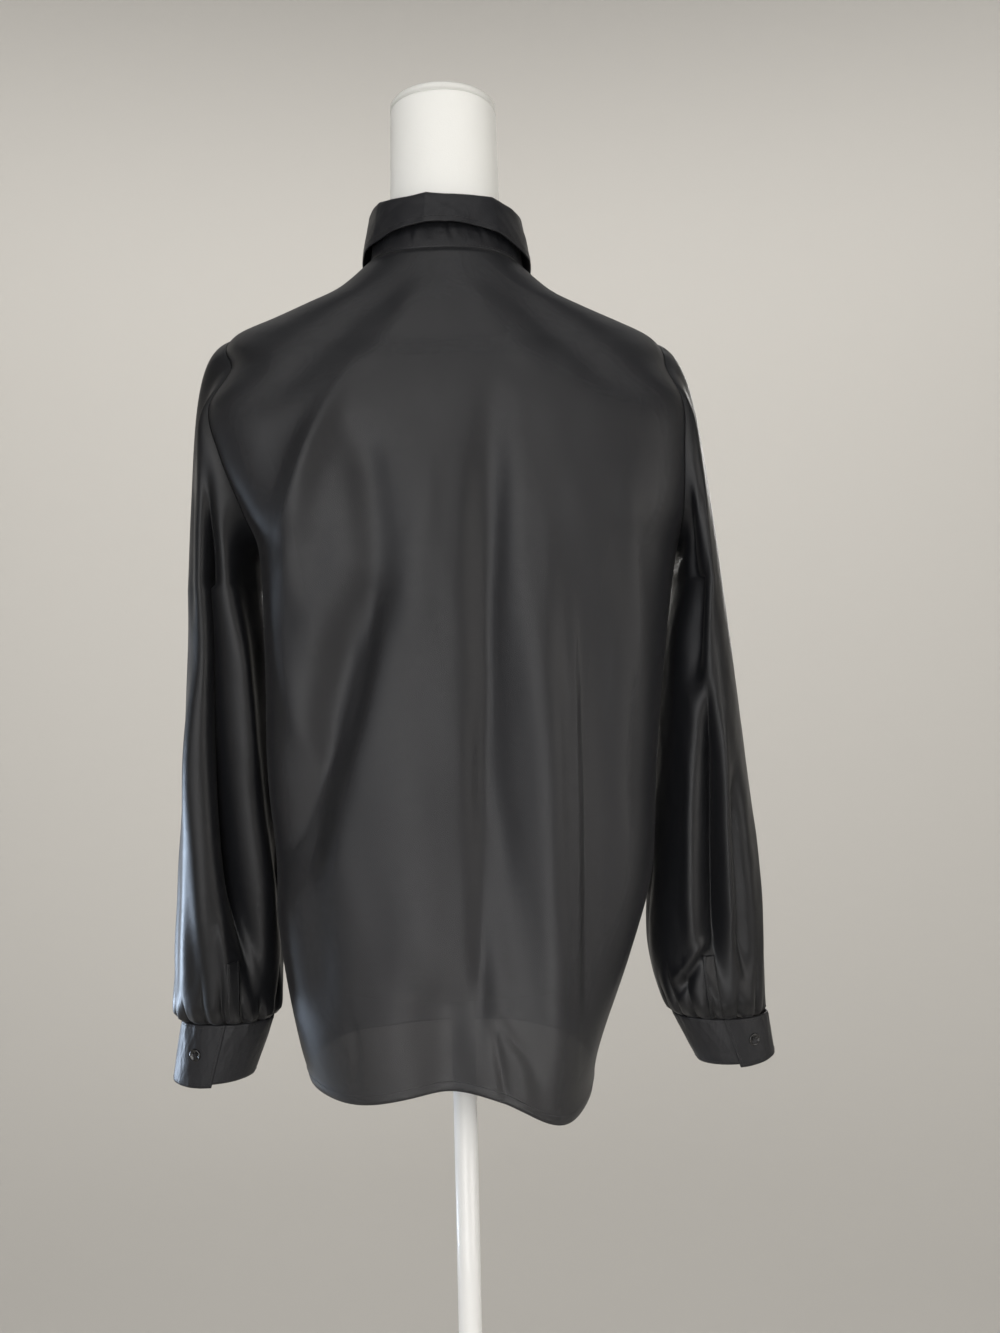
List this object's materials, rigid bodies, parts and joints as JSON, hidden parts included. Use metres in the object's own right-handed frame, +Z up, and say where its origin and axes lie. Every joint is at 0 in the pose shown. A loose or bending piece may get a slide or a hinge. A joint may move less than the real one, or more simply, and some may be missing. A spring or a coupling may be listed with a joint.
{
  "type": "blouse on a dress form",
  "caption": "Long-sleeved black blouse with a turned-down collar, buttoned front and gathered cuffs, worn by a limbless dress form on a pole stand with a round base.",
  "frame": {"origin": "centre of the round base's underside, on the floor", "axes": "+Z up along the pole, +X to the wearer's left, -Y to the front of the blouse"},
  "size_m": [0.565, 0.35, 1.5413],
  "materials": {
    "blouse_cloth": "black satin-faced polyester, slightly sheer",
    "buttons": "polished black",
    "form_jersey": "off-white jersey",
    "form_cap": "matt",
    "stand_lacquer": "white lacquer"
  },
  "bodies": {
    "root": {"form_torso": "form_jersey", "form_neck_cap": "form_cap", "stand_pole": "stand_lacquer", "stand_hub": "stand_lacquer", "stand_base": "stand_lacquer", "back": "blouse_cloth", "front_right": "blouse_cloth", "front_left": "blouse_cloth", "collar_stand": "blouse_cloth", "collar_fall": "blouse_cloth", "sleeve_left": "blouse_cloth", "sleeve_placket_left": "blouse_cloth", "cuff_left": "blouse_cloth", "cuff_button_left": "buttons", "sleeve_right": "blouse_cloth", "sleeve_placket_right": "blouse_cloth", "cuff_right": "blouse_cloth", "cuff_button_right": "buttons", "front_button_1": "buttons", "front_button_2": "buttons", "front_button_3": "buttons", "front_button_4": "buttons", "front_button_5": "buttons", "front_button_6": "buttons", "front_button_7": "buttons", "band_button": "buttons"}
  },
  "joints": []
}
